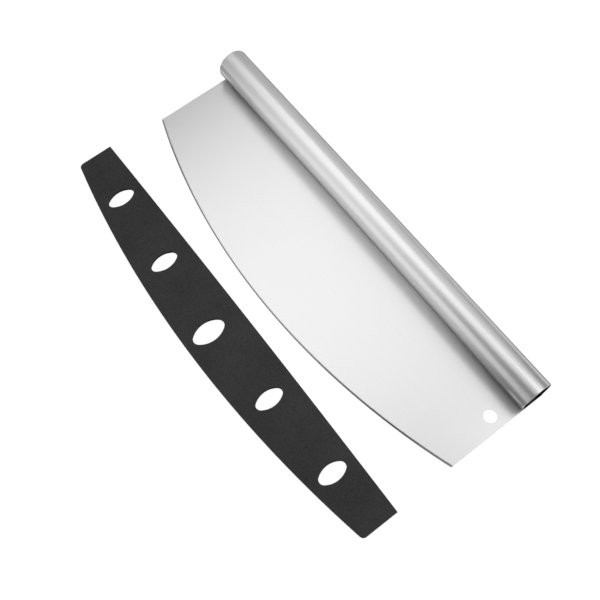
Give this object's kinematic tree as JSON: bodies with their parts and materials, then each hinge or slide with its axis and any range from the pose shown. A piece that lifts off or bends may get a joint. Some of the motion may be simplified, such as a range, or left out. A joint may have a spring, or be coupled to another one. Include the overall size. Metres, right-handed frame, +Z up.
{
  "type": "rocking pizza knife",
  "caption": "Rocking pizza knife: a steel tube handle welded onto the back of a long curved steel blade, with a black moulded guard pierced by oval holes lying beside it.",
  "frame": {"origin": "on the surface that the guard lies on, under the middle of the whole, with the guard taken off and lying in front of the blade", "axes": "+X along the handle towards the end with the hanging hole, +Y from the guard towards the handle, +Z up. The blade lies flat, with the handle on top of it."},
  "size_m": [0.3608, 0.1792, 0.0273],
  "materials": {
    "handle_steel": "satin",
    "blade_steel": "satin",
    "weld_steel": "ground smooth",
    "guard_plastic": "matte with a fine grain"
  },
  "bodies": {
    "knife": {"handle_tube": "handle_steel", "blade": "blade_steel", "front_weld_seam": "weld_steel", "back_weld_seam": "weld_steel"},
    "guard": {"blade_guard": "guard_plastic"}
  },
  "joints": [
    {"name": "guard_slide", "type": "slide", "parent": "knife", "child": "guard", "axis": [0, 1, 0], "range_m": [0, 0.063]}
  ]
}
